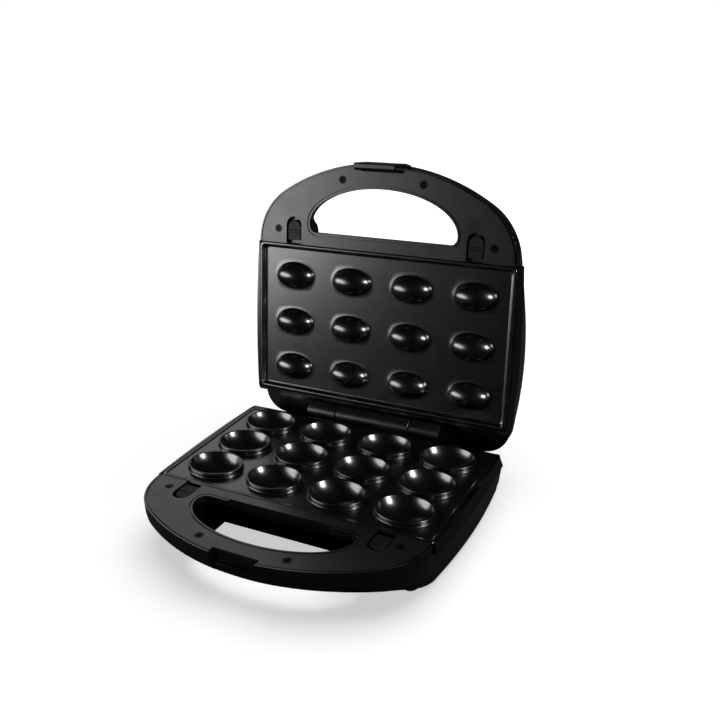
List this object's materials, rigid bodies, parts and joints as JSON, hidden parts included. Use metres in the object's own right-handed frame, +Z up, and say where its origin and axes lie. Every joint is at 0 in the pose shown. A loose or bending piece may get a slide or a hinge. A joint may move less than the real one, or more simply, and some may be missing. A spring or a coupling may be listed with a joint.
{
  "type": "multi-snack maker",
  "caption": "Countertop snack maker, shown open: a hinged lid with domes over a base plate with oval raised cups, both halves with an arched front handle, catches and a latch.",
  "frame": {"origin": "on the worktop, under the middle of the opened appliance", "axes": "+Z up, +Y from the front handle to the hinge, +X to the right"},
  "size_m": [0.2306, 0.2604, 0.2478],
  "materials": {
    "case_plastic": "satin black moulded plastic",
    "frame_plastic": "fine-grained satin black moulded plastic",
    "hard_plastic": "satin black moulded plastic",
    "nonstick_plate": "satin dark non-stick coating on cast aluminium",
    "hinge_metal": "satin black heat-proof paint on cast metal",
    "steel_pin": "ground steel",
    "spring_steel": "drawn wire",
    "black_screw": "black oxide",
    "zinc_screw": "zinc plated",
    "heater_tube": "bare sheathed tube",
    "bright_sheet": "bright sheet",
    "thermostat_metal": "plated",
    "fuse_metal": "plated",
    "terminal_plastic": "natural moulded plastic",
    "gland_plastic": "black moulded plastic",
    "foot_rubber": "matte black rubber",
    "red_lens": "clear tinted plastic",
    "green_lens": "clear tinted plastic",
    "bulb_glass": "clear glass",
    "holder_plastic": "natural moulded plastic"
  },
  "bodies": {
    "base": {"base_face_screws": "black_screw", "base_hinge_bracket": "hinge_metal", "base_inner_frame": "frame_plastic", "base_outer_shell": "case_plastic", "base_terminal_block": "terminal_plastic", "cord_clamp": "gland_plastic", "cord_clamp_screws": "zinc_screw", "cord_gland": "gland_plastic", "cord_gland_nut": "gland_plastic", "fuse_clip": "bright_sheet", "hinge_pin": "steel_pin", "lower_catch_spring_left": "spring_steel", "lower_catch_spring_right": "spring_steel", "lower_heater": "heater_tube", "lower_heater_saddles": "bright_sheet", "lower_plate": "nonstick_plate", "lower_reflector": "bright_sheet", "lower_reflector_screws": "zinc_screw", "lower_thermostat": "thermostat_metal", "rubber_feet": "foot_rubber", "thermal_fuse": "fuse_metal", "thermostat_bracket": "bright_sheet"},
    "lid": {"lid_outer_shell": "case_plastic", "lid_inner_frame": "frame_plastic", "upper_plate": "nonstick_plate", "upper_heater": "heater_tube", "upper_heater_saddles": "bright_sheet", "upper_reflector": "bright_sheet", "upper_reflector_screws": "zinc_screw", "upper_thermostat": "thermostat_metal", "lid_terminal_block": "terminal_plastic", "lid_face_screws": "black_screw", "lid_hinge_bracket": "hinge_metal", "upper_catch_spring_left": "spring_steel", "upper_catch_spring_right": "spring_steel", "latch_pin": "steel_pin", "latch_spring": "spring_steel", "power_lamp_lens": "red_lens", "ready_lamp_lens": "green_lens", "indicator_bulbs": "bulb_glass", "lamp_holder": "holder_plastic"},
    "latch": {"latch_lever": "hard_plastic"},
    "base_catch_left": {"lower_catch_left": "hard_plastic"},
    "base_catch_right": {"lower_catch_right": "hard_plastic"},
    "lid_catch_left": {"upper_catch_left": "hard_plastic"},
    "lid_catch_right": {"upper_catch_right": "hard_plastic"}
  },
  "joints": [
    {"name": "lid_hinge", "type": "hinge", "parent": "base", "child": "lid", "pos_m": [0, 0.0744, 0.0424], "axis": [1, 0, 0], "range_deg": [0, 98.35]},
    {"name": "latch_pivot", "type": "hinge", "parent": "lid", "child": "latch", "pos_m": [0, 0.10776, 0.24076], "axis": [-1, 0, 0], "range_deg": [0, 12], "stiffness_Nm_per_rad": 0.08, "springref_deg": -11.46, "deforming": ["latch_spring"]},
    {"name": "base_catch_slide_left", "type": "slide", "parent": "base", "child": "base_catch_left", "axis": [0, -1, 0], "range_m": [0, 0.003], "stiffness_N_per_m": 500, "springref_m": -0.002, "deforming": ["lower_catch_spring_left"]},
    {"name": "base_catch_slide_right", "type": "slide", "parent": "base", "child": "base_catch_right", "axis": [0, -1, 0], "range_m": [0, 0.003], "stiffness_N_per_m": 500, "springref_m": -0.002, "deforming": ["lower_catch_spring_right"]},
    {"name": "lid_catch_slide_left", "type": "slide", "parent": "lid", "child": "lid_catch_left", "axis": [0, 0.1452, 0.9894], "range_m": [0, 0.003], "stiffness_N_per_m": 500, "springref_m": -0.002, "deforming": ["upper_catch_spring_left"]},
    {"name": "lid_catch_slide_right", "type": "slide", "parent": "lid", "child": "lid_catch_right", "axis": [0, 0.1452, 0.9894], "range_m": [0, 0.003], "stiffness_N_per_m": 500, "springref_m": -0.002, "deforming": ["upper_catch_spring_right"]}
  ]
}
